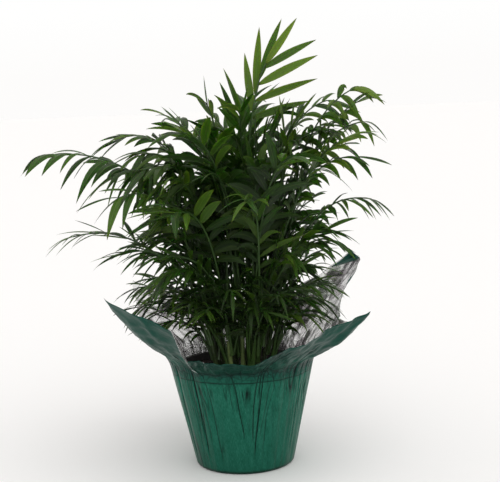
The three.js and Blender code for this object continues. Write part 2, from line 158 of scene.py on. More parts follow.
# Each cane: its length above the soil, then its top, middle and low frond. A frond is
# [tip x, tip y, tip height above the soil, lead, crown height, bare share, leaflet pairs,
#  leaflet length, roll in degrees, sag]
CANES = [
    (60, [[38, -16, 334, 0.06, 290, 0.78, 4, 78, 66, 0.12],
          [12, 18, 285, 0.1, 230, 0.52, 6, 70, 0, 0.4],
          [44, 14, 190, 0.2, 165, 0.45, 6, 56, 0, 0.6]]),
    (44, [[-72, 85, 275, 0.15, 262, 0.5, 7, 66, 0, 0.6],
          [-84, 62, 178, 0.2, 180, 0.42, 7, 56, 0, 0.7],
          [-40, 34, 150, 0.2, 140, 0.4, 6, 50, 0, 0.7]]),
    (70, [[-50, -85, 268, 0.15, 262, 0.5, 6, 70, 0, 0.6],
          [-45, -12, 262, 0.1, 225, 0.5, 6, 68, 0, 0.5],
          [-6, -86, 104, 0.25, 110, 0.35, 7, 44, 0, 0.8]]),
    (52, [[74, 40, 272, 0.2, 250, 0.5, 7, 60, 0, 0.9],
          [75, 115, 235, 0.22, 235, 0.45, 8, 62, 0, 0.7],
          [62, 88, 110, 0.25, 116, 0.35, 7, 46, 0, 0.8]]),
    (84, [[-190, -35, 248, 0.28, 254, 0.4, 9, 62, 10, 1.2],
          [-98, -30, 150, 0.25, 165, 0.42, 7, 50, 0, 0.8],
          [-94, -10, 98, 0.25, 104, 0.35, 7, 44, 0, 0.8]]),
    (48, [[126, -30, 256, 0.4, 240, 0.42, 9, 58, 0, 0.8],
          [62, -22, 268, 0.2, 220, 0.5, 6, 68, 0, 0.4],
          [82, -55, 102, 0.25, 108, 0.35, 7, 46, 0, 0.8]]),
    (62, [[-29, 25, 295, 0.06, 268, 0.57, 5, 56, -12, 0.5],
          [-30, 135, 225, 0.22, 235, 0.45, 8, 62, 0, 0.7],
          [-30, 88, 112, 0.25, 118, 0.35, 7, 46, 0, 0.8]]),
    (40, [[-62, -115, 188, 0.2, 205, 0.45, 7, 66, 0, 0.8],
          [-78, -85, 142, 0.2, 150, 0.42, 7, 52, 0, 0.8],
          [-52, -74, 90, 0.25, 96, 0.35, 7, 44, 0, 0.8]]),
    (56, [[138, 5, 291, 0.35, 262, 0.55, 6, 50, 20, 1.0],
          [96, 80, 212, 0.25, 215, 0.45, 8, 54, 0, 0.8],
          [86, 35, 108, 0.25, 114, 0.35, 7, 44, 0, 0.8]]),
    (66, [[-128, 12, 258, 0.05, 292, 0.48, 8, 50, -5, 0.6],
          [-112, 68, 214, 0.22, 228, 0.45, 8, 56, 0, 0.8],
          [-72, 65, 108, 0.25, 112, 0.35, 7, 46, 0, 0.8]]),
    (38, [[58, -95, 240, 0.2, 230, 0.45, 7, 70, 0, 0.6],
          [12, -120, 200, 0.2, 215, 0.45, 7, 64, 0, 0.7],
          [42, -84, 98, 0.25, 104, 0.35, 7, 44, 0, 0.8]]),
    (50, [[22, 110, 288, 0.15, 270, 0.5, 7, 68, 0, 0.5],
          [50, 105, 172, 0.2, 180, 0.42, 7, 56, 0, 0.7],
          [30, 98, 104, 0.25, 110, 0.35, 7, 46, 0, 0.8]]),
    (58, [[-116, -80, 205, 0.25, 225, 0.45, 7, 62, 0, 1.3],
          [-176, -15, 158, 0.29, 183, 0.42, 8, 46, 0, 0.6],
          [-84, -35, 92, 0.25, 98, 0.35, 7, 44, 0, 0.8]]),
    (46, [[146, -10, 186, 0.25, 204, 0.42, 9, 42, 0, 1.3],
          [96, -62, 150, 0.25, 160, 0.42, 7, 48, 0, 0.8],
          [90, -18, 98, 0.25, 106, 0.35, 7, 44, 0, 0.8]]),
]


# ---------------------------------------------------------------- colours
# Ramps are a place from nothing to one and its colour.
FOIL_GREENS = [(0.34, (0.004, 0.070, 0.042)), (0.50, (0.010, 0.116, 0.074)),
               (0.66, (0.026, 0.170, 0.116))]
# Painted shade: the crumpled band at the rim is darkened towards this.
FOIL_BAND_SHADE_GREEN = (0.004, 0.030, 0.026)
# Painted shade: the skirt is darkened towards this out from the rim.
FOIL_SKIRT_SHADE_GREEN = (0.004, 0.040, 0.030)
# Painted shade: near black in the foil's folds and creases.
FOLD_SHADE_BLACK = (0.0005, 0.003, 0.003)
# Painted reflections: each crumpled facet of the silver inside gets a grey to white of its own.
FOIL_SILVER_REFLECTIONS = [(0.15, (0.40, 0.37, 0.39)), (0.36, (0.95, 0.94, 0.95)), (0.7, (1.0, 1.0, 1.0))]
# Painted shade in the folds of the silver inside.
FOLD_SHADE_GREY = (0.02, 0.014, 0.02)
PLASTIC_BLACKS = [(0.3, (0.010, 0.009, 0.009)), (0.7, (0.028, 0.025, 0.023))]
SOIL_BROWNS = [(0.25, (0.004, 0.003, 0.003)), (0.5, (0.016, 0.011, 0.010)),
               (0.75, (0.060, 0.040, 0.030))]
# Leaves high up are paler: partly painted light on the top of the crown, partly new growth.
LOWER_LEAF_GREENS = [(0.15, (0.002, 0.009, 0.001)), (0.55, (0.012, 0.036, 0.002)),
                   (0.95, (0.062, 0.125, 0.008))]
UPPER_LIT_NEW_LEAF_GREENS = [(0.15, (0.010, 0.032, 0.001)), (0.55, (0.044, 0.092, 0.003)),
                     (0.95, (0.130, 0.200, 0.012))]
VEIN_GREEN = (0.10, 0.17, 0.04)
RIB_GREEN = (0.13, 0.20, 0.04)
DRY_TIP_BROWN = (0.070, 0.050, 0.015)
# Painted shade inside the crown, near black.
CROWN_SHADE_GREEN = (0.002, 0.009, 0.001)
STALK_GREENS = ((0.014, 0.042, 0.008), (0.055, 0.115, 0.020))
CANE_GREENS = ((0.014, 0.030, 0.008), (0.060, 0.090, 0.024))
YOUNG_CANE_GREENS = ((0.070, 0.120, 0.030), (0.200, 0.270, 0.090))
# In metres: heights over which leaves turn paler, partly painted light on the top of the crown and
# partly new growth, and over which the painted shade of the crown's inside ends, and the distances
# from its axis over which it ends.
UPPER_LIT_NEW_LEAF_HEIGHTS = (0.30, 0.47)
SHADED_HEIGHTS = (0.30, 0.44)
SHADED_RADII = (0.045, 0.135)


# ---------------------------------------------------------------- helpers
def mix(a, b, share):
    """The point between two numbers, arrays or node values."""
    return a + (b - a) * share


def smooth(low, high, value):
    """Nothing below the low end, one above the high end and eased between."""
    share = np.clip((value - low) / (high - low), 0, 1)
    return share * share * (3 - 2 * share)


def add_object(name, mesh):
    piece = bpy.data.objects.new(name, mesh)
    bpy.context.scene.collection.objects.link(piece)
    return piece


class Value:
    """One output of a node. Arithmetic on it adds the nodes that do the sum."""

    def __init__(self, w, socket):
        self.w = w
        self.socket = socket

    def __add__(self, other):
        return self.w.combined("ADD", self, other)

    def __radd__(self, other):
        return self.w.combined("ADD", other, self)

    def __sub__(self, other):
        return self.w.combined("SUBTRACT", self, other)

    def __rsub__(self, other):
        return self.w.combined("SUBTRACT", other, self)

    def __mul__(self, other):
        return self.w.combined("MULTIPLY", self, other)

    def __rmul__(self, other):
        return self.w.combined("MULTIPLY", other, self)

    def __truediv__(self, other):
        return self.w.combined("DIVIDE", self, other)

    def __abs__(self):
        return self.w.maths("ABSOLUTE", self)

    def clamped(self):
        """Keeps the sum that made this value between nothing and one."""
        self.socket.node.use_clamp = True
        return self


def is_vector(value):
    return isinstance(value, tuple) or isinstance(value, Value) and value.socket.type == "VECTOR"


class Wiring:
    """Adds nodes to one tree and joins them, so that a rule reads as an expression."""

    def __init__(self, tree):
        self.tree = tree

    def feed(self, socket, value):
        if isinstance(value, Value):
            self.tree.links.new(value.socket, socket)
        elif isinstance(value, tuple) and socket.type == "RGBA":
            socket.default_value = (*value, 1)
        else:
            socket.default_value = value

    def node(self, kind, inputs=None, **settings):
        node = self.tree.nodes.new(kind)
        for key, value in settings.items():
            setattr(node, key, value)
        for key, value in (inputs or {}).items():
            self.feed(node.inputs[key], value)
        return node

    def add(self, kind, inputs=None, output=0, **settings):
        """Adds a node and gives one of its outputs."""
        return Value(self, self.node(kind, inputs, **settings).outputs[output])

    def maths(self, operation, *values):
        return self.add("ShaderNodeMath", dict(enumerate(values)), operation=operation)

    def vector(self, operation, *values, output=0):
        return self.add("ShaderNodeVectorMath", dict(enumerate(values)), output,
                        operation=operation)

    def combined(self, operation, a, b):
        if not is_vector(a) and not is_vector(b):
            return self.maths(operation, a, b)
        if is_vector(a) and is_vector(b):
            return self.vector(operation, a, b)
        vector, scale = (a, b) if is_vector(a) else (b, a)
        return self.add("ShaderNodeVectorMath", {"Vector": vector, "Scale": scale},
                        operation="SCALE")

    def unit(self, value):
        return self.vector("NORMALIZE", value)

    def cross(self, a, b):
        return self.vector("CROSS_PRODUCT", a, b)

    def turned(self, vector, axis, angle):
        return self.add("ShaderNodeVectorRotate", {"Vector": vector, "Axis": axis, "Angle": angle},
                        rotation_type="AXIS_ANGLE")

    def larger(self, a, b):
        return self.maths("MAXIMUM", a, b)

    def between(self, value, low, high):
        """Nothing below the low end and one above the high end."""
        return self.add("ShaderNodeMapRange", {"Value": value, "From Min": low, "From Max": high})

    def colours(self, share, a, b):
        return self.add("ShaderNodeMix", {0: share, 6: a, 7: b}, 2, data_type="RGBA")

    def ramp(self, value, stops):
        node = self.node("ShaderNodeValToRGB", {"Fac": value})
        elements = node.color_ramp.elements
        while len(elements) < len(stops):
            elements.new(0.5)
        for element, (place, colour) in zip(elements, stops):
            element.position = place
            element.color = (*colour, 1)
        return Value(self, node.outputs[0])


def new_tree(name, kind, inputs, outputs):
    """A tree with named sockets: its wiring, its inputs by name and its end."""
    tree = bpy.data.node_groups.new(name, kind)
    for direction, items in (("INPUT", inputs), ("OUTPUT", outputs)):
        for socket_name, socket_kind in items.items():
            tree.interface.new_socket(name=socket_name, in_out=direction,
                                      socket_type=f"NodeSocket{socket_kind}")
    w = Wiring(tree)
    given = {socket.name: Value(w, socket) for socket in tree.nodes.new("NodeGroupInput").outputs}
    return w, given, tree.nodes.new("NodeGroupOutput").inputs


def grown(name, start, tree, values, drop=()):
    """The plain mesh that a tree makes from a start mesh, as a new object."""
    source = add_object(f"{name}_start", start)
    modifier = source.modifiers.new("grow", "NODES")
    modifier.node_group = tree
    for item in tree.interface.items_tree:
        if item.in_out == "INPUT" and item.name in values:
            modifier[item.identifier] = values[item.name]
    depsgraph = bpy.context.evaluated_depsgraph_get()
    made = bpy.data.meshes.new_from_object(source.evaluated_get(depsgraph), depsgraph=depsgraph)
    source.modifiers.remove(modifier)
    bpy.data.objects.remove(source)
    for attribute in drop:
        if attribute in made.attributes:
            made.attributes.remove(made.attributes[attribute])
    made.name = name
    return add_object(name, made)


# ---------------------------------------------------------------- shared shader effects
def mottling_group():
    """Uneven colour at two sizes: a mask around 0.5."""
    w, given, end = new_tree("mottling", "ShaderNodeTree",
                             {"Vector": "Vector", "Scale": "Float", "Fine scale": "Float"},
                             {"Mask": "Float"})
    coarse = w.add("ShaderNodeTexNoise", {
        "Vector": given["Vector"], "Scale": given["Scale"], "Detail": 3.0})
    fine = w.add("ShaderNodeTexNoise", {
        "Vector": given["Vector"], "Scale": given["Fine scale"], "Detail": 4.0})
    w.feed(end[0], mix(coarse, fine, 0.4))
    return w.tree


def on_sheet(w, place, across, along):
    """A place on the sheet, counted in cells to the metre across it and along it."""
    return w.add("ShaderNodeMapping", {"Vector": place, "Scale": (across, along, 1.0)})


def sheet_noise(w, place, across, along, detail, roughness=0.5):
    return w.add("ShaderNodeTexNoise", {
        "Vector": on_sheet(w, place, across, along), "Scale": 1.0, "Detail": detail,
        "Roughness": roughness})


def thin_lines(w, place, across, along, sharpness):
    """Meandering lines that run up the sheet where a stretched noise crosses its middle."""
    waves = sheet_noise(w, place, across, along, 2.0, 0.6)
    return (1.0 - abs(waves - 0.5) * sharpness).clamped()


def cell_edges(w, place, across, along, sharpness):
    """Lines between the cells of an irregular mosaic on the sheet."""
    cells = w.add("ShaderNodeTexVoronoi", {
        "Vector": on_sheet(w, place, across, along), "Scale": 1.0}, "Distance",
        feature="DISTANCE_TO_EDGE")
    return (1.0 - cells * sharpness).clamped()


def closeness(along, centre, reach):
    """One at a distance along the sheet, falling to nothing beyond its reach."""
    return (1.0 - abs(along - centre) / reach).clamped()


def crinkle_group():
    """Crepe ribs, folds darkened with painted shade, the crumpled band at the rim with its painted
    shade and the share out on the skirt.
    """
    w, given, end = new_tree(
        "crinkled_foil", "ShaderNodeTree",
        {"Sheet place": "Vector", "Crease": "Float", "Folds": "Float", "Short folds": "Float",
         "Crumple": "Float"},
        {"Ribs": "Float", "Folds": "Float", "Band": "Float", "Skirt": "Float"})
    place, crumple = given["Sheet place"], given["Crumple"]
    ribs = mix(sheet_noise(w, place, 1100, 240, 4.0, 0.6), sheet_noise(w, place, 160, 45, 3.0),
               0.35)
    along = w.add("ShaderNodeSeparateXYZ", {"Vector": place}, "Y")
    near_rim = closeness(along, RIM_ALONG, SHORT_FOLD_REACH)
    breaks = w.between(sheet_noise(w, place, 30, 26, 2.0), 0.44, 0.58)
    sides = w.between(sheet_noise(w, place, 14, 5, 1.0), 0.42, 0.60)
    often = w.larger((near_rim * 1.6).clamped(), sides) * breaks
    # Fold lines, painted near black as shade in the folds; they also feed the bump.
    long_folds = thin_lines(w, place, 46, 4.5, 42.0) * often
    short_folds = thin_lines(w, place, 90, 12, 34.0) * near_rim * breaks * given["Short folds"]
    lines = w.larger(long_folds, short_folds) * given["Folds"]
    # A dark line at the foot of the wall: painted shadow where the foil meets the floor.
    lines = w.larger(lines, closeness(along, WALL_START, FOOT_LINE_REACH) * 0.8)
    # The crumpled band at the rim: painted shade, darkened and lined with dark cell edges.
    band = closeness(along, BAND_MIDDLE, BAND_REACH) * crumple
    lines = w.larger(lines, cell_edges(w, place, 105, 170, 9.0) * band)
    # A dark line 7 mm below the rim: painted shade, as of a crease.
    lines = w.larger(lines, closeness(along, RIM_LINE, RIM_LINE_REACH) * crumple)
    # The creases' mask, darkened as painted shade in the creases.
    creases = w.between(given["Crease"], 0.15, 0.75)
    # The share out on the skirt, which the green side darkens as painted shade.
    skirt = w.between(along, RIM_ALONG, RIM_ALONG + SKIRT_SHADE_LENGTH)
    for socket, value in zip(end, (ribs, w.larger(lines, creases), band, skirt)):
        w.feed(socket, value)
    return w.tree


MOTTLING = mottling_group()
CRINKLED_FOIL = crinkle_group()


# ---------------------------------------------------------------- materials
def new_material(name):
    material = bpy.data.materials.new(name)
    material.use_nodes = True
    return material, Wiring(material.node_tree)


def finish_material(w, values):
    """Feeds or sets the named sockets of the material's own shader."""
    shader = w.tree.nodes["Principled BSDF"]
    for name, value in values.items():
        w.feed(shader.inputs[name], value)


def attribute(w, name):
    return w.add("ShaderNodeAttribute", output="Fac", attribute_name=name)


def object_place(w):
    return w.add("ShaderNodeTexCoord", output="Object")


def mottling(w, scale, fine):
    return w.add("ShaderNodeGroup", {
        "Vector": object_place(w), "Scale": scale, "Fine scale": fine}, node_tree=MOTTLING)


def crinkles(w, folds, short_folds, crumple):
    """The crinkled foil effect in a material: its place on the sheet, then the effect's masks."""
    place = w.add("ShaderNodeUVMap", uv_map="sheet")
    node = w.node("ShaderNodeGroup", {
        "Sheet place": place, "Crease": attribute(w, "crease"), "Folds": folds,
        "Short folds": short_folds, "Crumple": crumple}, node_tree=CRINKLED_FOIL)
    return place, [Value(w, socket) for socket in node.outputs]


def bump(w, height, depth):
    return w.add("ShaderNodeBump", {"Strength": 1.0, "Distance": depth, "Height": height})


def foil_outside():
    material, w = new_material("foil_green")
    _, (ribs, folds, band, skirt) = crinkles(w, folds=1.0, short_folds=1.0, crumple=0.85)
    body = w.ramp(ribs, FOIL_GREENS)
    # Painted shade darkens the crumpled band at the rim.
    body = w.colours(band * 0.75, body, FOIL_BAND_SHADE_GREEN)
    # Painted shade darkens the skirt out from the rim.
    body = w.colours(skirt * 0.72, body, FOIL_SKIRT_SHADE_GREEN)
    finish_material(w, {
        # Folds and creases are painted near black as shade.
        "Base Color": w.colours(folds, body, FOLD_SHADE_BLACK), "Roughness": ribs * 0.25 + 0.28,
        "Metallic": 0.85, "Normal": bump(w, ribs - folds, 0.35 * MM)})
    return material


def foil_inside():
    material, w = new_material("foil_silver")
    place, (ribs, folds, _, _) = crinkles(w, folds=0.6, short_folds=0.0, crumple=0.3)
    facets = w.node("ShaderNodeTexVoronoi", {"Vector": on_sheet(w, place, 75, 38), "Scale": 1.0})
    # Painted reflections: a grey to white for each crumpled facet.
    body = w.ramp(Value(w, facets.outputs["Color"]), FOIL_SILVER_REFLECTIONS)
    # Folds and cell edges painted dark grey as shade; they also feed the bump.
    folds = w.larger(folds, cell_edges(w, place, 26, 13, 20.0) * 0.5)
    height = Value(w, facets.outputs["Distance"]) * 2.0 - folds
    finish_material(w, {
        "Base Color": w.colours(folds, body, FOLD_SHADE_GREY), "Roughness": ribs * 0.25 + 0.12,
        "Metallic": 0.75, "Normal": bump(w, height, 1.0 * MM)})
    return material


def pot_plastic():
    material, w = new_material("pot_plastic")
    marks = mottling(w, 60.0, 700.0)
    finish_material(w, {
        "Base Color": w.ramp(marks, PLASTIC_BLACKS), "Roughness": marks * 0.3 + 0.38,
        "Normal": bump(w, marks, 0.15 * MM)})
    return material


def potting_mix():
    material, w = new_material("potting_mix")
    grains = mottling(w, 220.0, 1500.0)
    finish_material(w, {
        "Base Color": w.ramp(grains, SOIL_BROWNS), "Roughness": 0.95,
        "Normal": bump(w, grains, 0.8 * MM)})
    return material


def leaf_green():
    """Green by leaflet, frond and patch; paler high up, as painted light and new growth; veins and
    ribs; painted shade inside.
    """
    material, w = new_material("leaf_green")
    along = attribute(w, "leaf_along")
    across = abs(attribute(w, "leaf_across"))
    place = object_place(w)
    height = w.add("ShaderNodeSeparateXYZ", {"Vector": place}, "Z")
    patches = mottling(w, 45.0, 420.0)
    tone = attribute(w, "leaf_random") * 0.60 + attribute(w, "frond_random") * 0.35
    tone = tone + patches * 0.20
    # Paler high up: partly painted light on the top of the crown, partly new growth.
    upper_lit_new = w.between(height, *UPPER_LIT_NEW_LEAF_HEIGHTS)
    body = w.colours(upper_lit_new * 0.85, w.ramp(tone, LOWER_LEAF_GREENS), w.ramp(tone, UPPER_LIT_NEW_LEAF_GREENS))
    veins = w.maths("SINE", across * 34.0)
    body = w.colours(veins * 0.05 + 0.05, body, VEIN_GREEN)
    rib = (1.0 - across * 9.0).clamped()
    body = w.colours(rib * 0.45, body, RIB_GREEN)
    dry = w.between(along, 0.93, 1.0)
    body = w.colours(dry * 0.6, body, DRY_TIP_BROWN)
    # Painted shade: leaves near the crown's axis and low down, where they shade each other, are
    # darkened.
    from_axis = w.vector("LENGTH", place * (1, 1, 0), output="Value")
    lit = w.larger(w.between(from_axis, *SHADED_RADII), w.between(height, *SHADED_HEIGHTS))
    body = w.colours(lit * 0.62 + 0.38, CROWN_SHADE_GREEN, body)
    finish_material(w, {
        "Base Color": body, "Roughness": patches * 0.25 + 0.22, "Specular IOR Level": 0.24,
        "Subsurface Weight": 0.12, "Subsurface Radius": (0.4, 1.0, 0.15),
        "Subsurface Scale": 0.003, "Normal": bump(w, veins * 0.5 + patches, 0.12 * MM)})
    return material


def stalk_green(name, dark, light):
    material, w = new_material(name)
    streaks = mottling(w, 90.0, 600.0)
    body = w.ramp(streaks, [(0.3, dark), (0.7, light)])
    finish_material(w, {
        "Base Color": w.colours(attribute(w, "leaf_along") * 0.6, body, dark),
        "Roughness": streaks * 0.2 + 0.32, "Normal": bump(w, streaks, 0.1 * MM)})
    return material


FOIL_GREEN = foil_outside()
FOIL_SILVER = foil_inside()
POT_PLASTIC = pot_plastic()
POTTING_MIX = potting_mix()
LEAF_GREEN = leaf_green()
STALK_GREEN = stalk_green("stalk_green", *STALK_GREENS)
CANE_GREEN = stalk_green("cane_green", *CANE_GREENS)
YOUNG_CANE_GREEN = stalk_green("young_cane_green", *YOUNG_CANE_GREENS)


# ---------------------------------------------------------------- foil wrap
def skirt_facts(bearings):
    """The columns of SKIRT at each bearing, eased between its rows."""
    result = np.zeros((len(SKIRT[0]) - 1, len(bearings)))
    turned = (bearings - SKIRT[0][0]) % 360 + SKIRT[0][0]
    for a, b in zip(SKIRT, SKIRT[1:]):
        here = (turned >= a[0]) & (turned <= b[0])
        share = (1 - np.cos(np.pi * (turned[here] - a[0]) / (b[0] - a[0]))) / 2
        for k in range(len(result)):
            result[k, here] = mix(a[k + 1], b[k + 1], share)
    return result


def side_share(bearings):
    """How far each bearing lies between the two corners beside it."""
    share = np.zeros_like(bearings)
    for k, start in enumerate(CORNER_BEARINGS):
        span = (CORNER_BEARINGS[(k + 1) % 4] - start) % 360
        past = (bearings - start) % 360
        here = past < span
        share[here] = past[here] / span
    return share


def foil_meridians(bearings):
    """Radius, height, slope and length along the sheet, for each row and column."""
    flare, gain, kept, _, bend = skirt_facts(bearings)
    reach = SHEET_HALF_SIDE / np.cos(np.pi / 2 * (side_share(bearings) - 0.5))
    wall_rise = FOIL_RIM_HEIGHT - FOIL_FOOT_ROUND
    wall_run = FOIL_RIM_RADIUS - FOIL_BASE_RADIUS
    wall_slope = math.atan2(wall_rise, wall_run)
    skirt = (reach - FOIL_BASE_RADIUS - math.hypot(wall_rise, wall_run)) * kept
    foot = FOIL_BASE_RADIUS - FOIL_FOOT_ROUND
    ones = np.ones_like(bearings)
    radius, height, slope = [], [], []
    for k in range(FLOOR_ROWS):
        radius.append(ones * foot * (k + 1) / (FLOOR_ROWS + 1))
        height.append(ones * 0)
        slope.append(ones * 0)
    for k in range(FOOT_ROWS):
        turn = math.pi / 2 * k / (FOOT_ROWS - 1)
        radius.append(ones * (foot + FOIL_FOOT_ROUND * math.sin(turn)))
        height.append(ones * FOIL_FOOT_ROUND * (1 - math.cos(turn)))
        slope.append(ones * wall_slope * k / (FOOT_ROWS - 1))
    for k in range(1, WALL_ROWS + 1):
        share = k / WALL_ROWS
        radius.append(ones * (FOIL_BASE_RADIUS + wall_run * share))
        height.append(ones * (FOIL_FOOT_ROUND + wall_rise * share))
        slope.append(ones * wall_slope)
    for k in range(SKIRT_ROWS):
        share = (k + 0.5) / SKIRT_ROWS
        turned = np.clip(skirt * share / (bend * MM), 0, 1)
        angle = mix(wall_slope, np.radians(flare + gain * share ** 2), turned)
        step = skirt / SKIRT_ROWS
        radius.append(radius[-1] + step * np.cos(angle))
        height.append(height[-1] + step * np.sin(angle))
        slope.append(angle)
    radius, height, slope = map(np.array, (radius, height, slope))
    steps = np.hypot(np.diff(radius, axis=0), np.diff(height, axis=0))
    along = np.vstack([radius[:1], radius[:1] + np.cumsum(steps, axis=0)])
    return radius, height, slope, along


def gap(bearings, centre):
    """Signed degrees from a bearing."""
    return (bearings - centre + 180) % 360 - 180


def foil_creases(bearings, along, rng):
    """Sharp folds: each starts low on the wall and drifts to a corner as it climbs."""
    dent = np.zeros_like(along)
    mask = np.zeros_like(along)
    arc = np.radians(1) * FOIL_RIM_RADIUS
    rise = (along - WALL_START) / (RIM_ALONG - WALL_START)
    for _ in range(CREASE_COUNT):
        foot = rng.uniform(0, 360)
        low = rng.uniform(0.05, 0.85)
        high = rng.uniform(0.9, 1.6)
        nearest = min(CORNER_BEARINGS, key=lambda c: abs(gap(foot, c)))
        towards = gap(nearest, foot)
        drift = towards * rng.uniform(0.1, 0.5)
        share = np.clip((rise - low) / (high - low), 0, 1)
        path = foot + drift * share ** 1.6 + 0.6 * np.sin(9 * share + foot)
        offset = gap(bearings[None, :], path) * arc
        width = rng.uniform(0.4, 0.8) * MM
        here = smooth(low - 0.03, low + 0.12, rise) * (1 - smooth(high - 0.15, high, rise))
        line = np.exp(-(offset / width) ** 2) * here
        depth = rng.uniform(0.3, 1.0) * MM
        dent += depth * np.exp(-np.abs(offset) / (2.2 * width)) * here
        mask = np.maximum(mask, line * rng.uniform(0.45, 1.0))
    return dent, mask


def foil_points():
    bearings = np.arange(FOIL_COLUMNS) * 360 / FOIL_COLUMNS - 180
    radius, height, slope, along = foil_meridians(bearings)
    rng = np.random.default_rng(7)
    dent, mask = foil_creases(bearings, along, rng)
    on_wall = smooth(WALL_START - 4 * MM, WALL_START + 8 * MM, along)
    on_skirt = smooth(RIM_ALONG - 6 * MM, RIM_ALONG + 30 * MM, along)
    crumple = np.zeros_like(along)
    for row in range(along.shape[0]):
        for column in range(FOIL_COLUMNS):
            turn = math.radians(bearings[column])
            r = along[row, column]
            spot = Vector((math.sin(turn), -math.cos(turn), 0)) * r
            facets = noise.voronoi(spot * FACET_SCALE)[0][0]
            fine = noise.voronoi(spot * FINE_FACET_SCALE + Vector((3, 7, 0)))[0][0]
            crumple[row, column] = facets * 2.2 + fine * 0.6
    crumple = (crumple - crumple.mean()) * MM
    flutes = np.zeros_like(along)
    for count in FLUTE_COUNTS:
        phase = rng.uniform(0, 6.28)
        flutes += np.sin(np.radians(bearings)[None, :] * count + phase) * (12 / count)
    proud = -dent * on_wall + crumple * mix(0.12, 1.3, on_skirt) * on_wall
    proud += flutes * FLUTE_DEPTH * on_wall * mix(1, 4, on_skirt)
    risen = smooth(RIM_ALONG, RIM_ALONG + CORNER_RIDGE_LENGTH, along)
    for corner in CORNER_BEARINGS:
        near = np.exp(-(gap(bearings, corner) / 7) ** 2)[None, :]
        proud += CORNER_RIDGE * near * risen
    swing = skirt_facts(bearings)[3][None, :] * smooth(RIM_ALONG, along[-1:], along)
    turn = np.radians(bearings[None, :] + swing)
    r = radius + proud * np.sin(slope)
    z = np.maximum(height - proud * np.cos(slope), 0)
    points = np.stack([r * np.sin(turn), -r * np.cos(turn), z], axis=-1)
    fold_corner(points, bearings, CORNER_BEARINGS[1])
    return bearings, along, points, mask


def fold_corner(points, bearings, corner):
    """Turns the last of one corner inward, over the inside of the sheet."""
    turn = math.radians(corner)
    across = np.array([math.cos(turn), math.sin(turn), 0])
    column = int(np.argmin(np.abs(gap(bearings, corner))))
    tip = points[-1, column]
    up = tip - points[-SKIRT_ROWS // 2, column]
    up /= np.linalg.norm(up)
    hinge = tip - up * FOLDED_CORNER
    inward = np.cross(across, up)
    near = np.abs(gap(bearings, corner)) < FOLD_REACH
    for row in range(len(points) - SKIRT_ROWS // 2, len(points)):
        for i in np.flatnonzero(near):
            place = points[row, i] - hinge
            tilted = up * math.cos(FOLD_SLANT) + across * math.sin(FOLD_SLANT)
            beyond = float(place @ tilted)
            if beyond > 0:
                angle = FOLD_TURN * min(1, beyond / FOLD_ROUND)
                rest = place - tilted * beyond
                shift = tilted * math.cos(angle) + inward * math.sin(angle)
                points[row, i] = hinge + rest + shift * beyond


def surface_normals(points):
    """Outward normals of the grid, from its neighbours."""
    across = np.roll(points, -1, axis=1) - np.roll(points, 1, axis=1)
    up = np.gradient(points, axis=0)
    normals = np.cross(across, up)
    return normals / np.linalg.norm(normals, axis=-1, keepdims=True)


def foil_mesh():
    bearings, along, outer, mask = foil_points()
    rows, columns = along.shape
    inner = outer - surface_normals(outer) * FOIL_THICKNESS
    inner[:FLOOR_ROWS, :, 2] = FOIL_THICKNESS
    count = rows * columns
    poles = np.array([[0, 0, 0], [0, 0, FOIL_THICKNESS]])
    vertices = np.vstack([outer.reshape(-1, 3), inner.reshape(-1, 3), poles])
    faces, marks = [], []

    def quad(a, b, c, d, mark):
        faces.append((a, b, c, d))
        marks.append(mark)

    for k in range(rows - 1):
        for i in range(columns):
            j = (i + 1) % columns
            a, b = k * columns + i, k * columns + j
            c, d = a + columns, b + columns
            quad(a, b, d, c, 0)
            quad(count + a, count + c, count + d, count + b, 1)
    last = (rows - 1) * columns
    for i in range(columns):
        j = (i + 1) % columns
        quad(last + i, last + j, count + last + j, count + last + i, 0)
        faces.append((2 * count, j, i))
        marks.append(0)
        faces.append((2 * count + 1, count + i, count + j))
        marks.append(1)
    mesh = bpy.data.meshes.new("foil_cover")
    mesh.from_pydata(vertices.tolist(), [], faces)
    mesh.materials.append(FOIL_GREEN)
    mesh.materials.append(FOIL_SILVER)
    mesh.polygons.foreach_set("material_index", marks)
    mesh.polygons.foreach_set("use_smooth", [True] * len(faces))
    crease = mesh.attributes.new("crease", "FLOAT", "POINT")
    crease.data.foreach_set("value", np.concatenate([mask.ravel(), mask.ravel() * 0.7, [0, 0]]))
    lay_sheet_map(mesh, bearings, along, count)
    mesh.update()
    return mesh


def lay_sheet_map(mesh, bearings, along, count):
    """A UV map in metres: round the rim, and along the sheet from the middle of the floor."""
    uv = mesh.uv_layers.new(name="sheet")
    arc = np.radians(bearings) * FOIL_RIM_RADIUS
    u = np.tile(arc, along.shape[0])
    v = along.ravel()
    corners = np.zeros(len(mesh.loops), dtype=np.int32)
    mesh.loops.foreach_get("vertex_index", corners)
    pole = corners >= 2 * count
    flat = np.where(pole, 0, corners % count)
    place = np.stack([u[flat], np.where(pole, 0, v[flat])], axis=-1)
    starts = np.zeros(len(mesh.polygons), dtype=np.int32)
    sizes = np.zeros(len(mesh.polygons), dtype=np.int32)
    mesh.polygons.foreach_get("loop_start", starts)
    mesh.polygons.foreach_get("loop_total", sizes)
    owner = np.repeat(np.arange(len(starts)), sizes)
    top = np.full(len(starts), -1e9)
    np.maximum.at(top, owner, np.where(pole, -1e9, place[:, 0]))
    wraps = place[:, 0] < top[owner] - math.pi * FOIL_RIM_RADIUS
    place[wraps, 0] += 2 * math.pi * FOIL_RIM_RADIUS
    place[pole, 0] = top[owner[pole]]
    uv.data.foreach_set("uv", place.ravel())


# ---------------------------------------------------------------- shared geometry rules
def stored(w, geometry, name, value):
    """Keeps a value with each point of a geometry, under a name."""
    kind = "FLOAT_VECTOR" if is_vector(value) else "FLOAT"
    return w.add("GeometryNodeStoreNamedAttribute", {
        "Geometry": geometry, "Name": name, "Value": value}, data_type=kind, domain="POINT")


